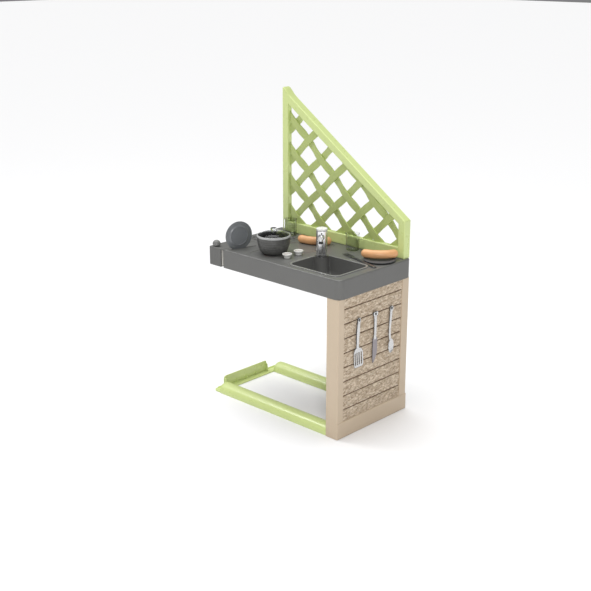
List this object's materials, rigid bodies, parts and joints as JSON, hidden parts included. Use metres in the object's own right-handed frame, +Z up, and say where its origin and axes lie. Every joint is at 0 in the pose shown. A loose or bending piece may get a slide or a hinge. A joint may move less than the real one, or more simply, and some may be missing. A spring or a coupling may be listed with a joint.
{
  "type": "outdoor play kitchen",
  "caption": "Child's outdoor play kitchen: worktop with sink, hob and tap on a stone-look side panel, lattice back screen, floor frame and a hook for a playhouse sill.",
  "frame": {"origin": "under the middle of the bounding box, at floor level", "axes": "+X along the worktop from the sill hook to the side panel, +Y from the user's side to the back screen, +Z up"},
  "size_m": [0.6655, 0.396, 1.165],
  "materials": {
    "green_plastic": "satin moulded",
    "grey_plastic": "satin moulded",
    "beige_plastic": "moulded, matt",
    "stone_plastic": "split-stone relief, matt",
    "charcoal_plastic": "moulded, matt",
    "white_plastic": "glossy",
    "chrome_plating": "plated, bright",
    "screw_steel": "zinc plated",
    "clear_plastic": "clear, polished",
    "smoke_plastic": "smoky clear, polished",
    "slate_plastic": "satin",
    "sausage_plastic": "soft matt",
    "silver_plastic": "silver lacquer on plastic"
  },
  "bodies": {
    "stand": {"side_panel": "beige_plastic", "panel_inner_cover": "beige_plastic", "panel_cover_screws": "screw_steel", "stone_insert": "stone_plastic", "utensil_pegs": "charcoal_plastic", "worktop": "grey_plastic", "worktop_screws": "screw_steel", "sink_basin": "grey_plastic", "sill_hook": "grey_plastic", "clamp_nut": "screw_steel", "screen_frame": "green_plastic", "lattice_front_slats": "green_plastic", "lattice_back_slats": "green_plastic", "screen_screws": "screw_steel", "front_floor_beam": "green_plastic", "rear_floor_beam": "green_plastic", "floor_bracket": "green_plastic", "tap_collar": "grey_plastic"},
    "clamp_knob_body": {"clamp_knob": "charcoal_plastic"},
    "front_knob_body": {"hob_knob_front": "white_plastic"},
    "rear_knob_body": {"hob_knob_rear": "white_plastic"},
    "tap": {"tap_body": "chrome_plating", "tap_nut": "charcoal_plastic"},
    "tap_lever_body": {"tap_lever": "white_plastic"},
    "pot_body": {"pot": "charcoal_plastic"},
    "lid_body": {"pot_lid": "clear_plastic", "lid_knob": "clear_plastic"},
    "upright_plate_body": {"upright_plate": "slate_plastic"},
    "serving_plate_body": {"serving_plate": "slate_plastic"},
    "right_sausage_body": {"sausage_right": "sausage_plastic"},
    "rear_sausage_body": {"sausage_rear": "sausage_plastic"},
    "left_tumbler_body": {"tumbler_left": "smoke_plastic"},
    "right_tumbler_body": {"tumbler_right": "smoke_plastic"},
    "fork_body": {"table_fork": "silver_plastic"},
    "turner_body": {"slotted_turner": "silver_plastic"},
    "knife_body": {"hanging_knife": "silver_plastic"},
    "spoon_body": {"hanging_spoon": "silver_plastic"}
  },
  "joints": [
    {"name": "clamp_knob_turn", "type": "hinge", "parent": "stand", "child": "clamp_knob_body", "pos_m": [-0.308, -0.181, 0.6], "axis": [0, 0, 1], "continuous": true},
    {"name": "front_knob_turn", "type": "hinge", "parent": "stand", "child": "front_knob_body", "pos_m": [-0.004, -0.11, 0.6], "axis": [0, 0, 1], "range_deg": [0, 270]},
    {"name": "rear_knob_turn", "type": "hinge", "parent": "stand", "child": "rear_knob_body", "pos_m": [-0.004, -0.05, 0.6], "axis": [0, 0, 1], "range_deg": [0, 270]},
    {"name": "tap_swivel", "type": "hinge", "parent": "stand", "child": "tap", "pos_m": [0.082, -0.017, 0.64], "axis": [0, 0, 1], "range_deg": [-60, 60]},
    {"name": "tap_lever_turn", "type": "hinge", "parent": "tap", "child": "tap_lever_body", "pos_m": [0.082, -0.017, 0.703], "axis": [0, 0, 1], "range_deg": [-45, 45]},
    {"name": "pot_lift", "type": "slide", "parent": "stand", "child": "pot_body", "axis": [0, 0, 1], "range_m": [0, 0.12]},
    {"name": "lid_lift", "type": "slide", "parent": "pot_body", "child": "lid_body", "axis": [0, 0, 1], "range_m": [0, 0.08]},
    {"name": "upright_plate_lift", "type": "slide", "parent": "stand", "child": "upright_plate_body", "axis": [0, 0, 1], "range_m": [0, 0.12]},
    {"name": "serving_plate_lift", "type": "slide", "parent": "stand", "child": "serving_plate_body", "axis": [0, 0, 1], "range_m": [0, 0.04]},
    {"name": "right_sausage_lift", "type": "slide", "parent": "serving_plate_body", "child": "right_sausage_body", "axis": [0, 0, 1], "range_m": [0, 0.05]},
    {"name": "rear_sausage_lift", "type": "slide", "parent": "stand", "child": "rear_sausage_body", "axis": [0, 0, 1], "range_m": [0, 0.08]},
    {"name": "left_tumbler_lift", "type": "slide", "parent": "stand", "child": "left_tumbler_body", "axis": [0, 0, 1], "range_m": [0, 0.1]},
    {"name": "right_tumbler_lift", "type": "slide", "parent": "stand", "child": "right_tumbler_body", "axis": [0, 0, 1], "range_m": [0, 0.1]},
    {"name": "fork_lift", "type": "slide", "parent": "stand", "child": "fork_body", "axis": [0, 0, 1], "range_m": [0, 0.08]},
    {"name": "turner_swing", "type": "hinge", "parent": "stand", "child": "turner_body", "pos_m": [0.3285, -0.091, 0.431], "axis": [1, 0, 0], "range_deg": [-9, 9]},
    {"name": "knife_swing", "type": "hinge", "parent": "stand", "child": "knife_body", "pos_m": [0.3285, 0, 0.431], "axis": [1, 0, 0], "range_deg": [-9, 9]},
    {"name": "spoon_swing", "type": "hinge", "parent": "stand", "child": "spoon_body", "pos_m": [0.3285, 0.091, 0.431], "axis": [1, 0, 0], "range_deg": [-9, 9]}
  ]
}
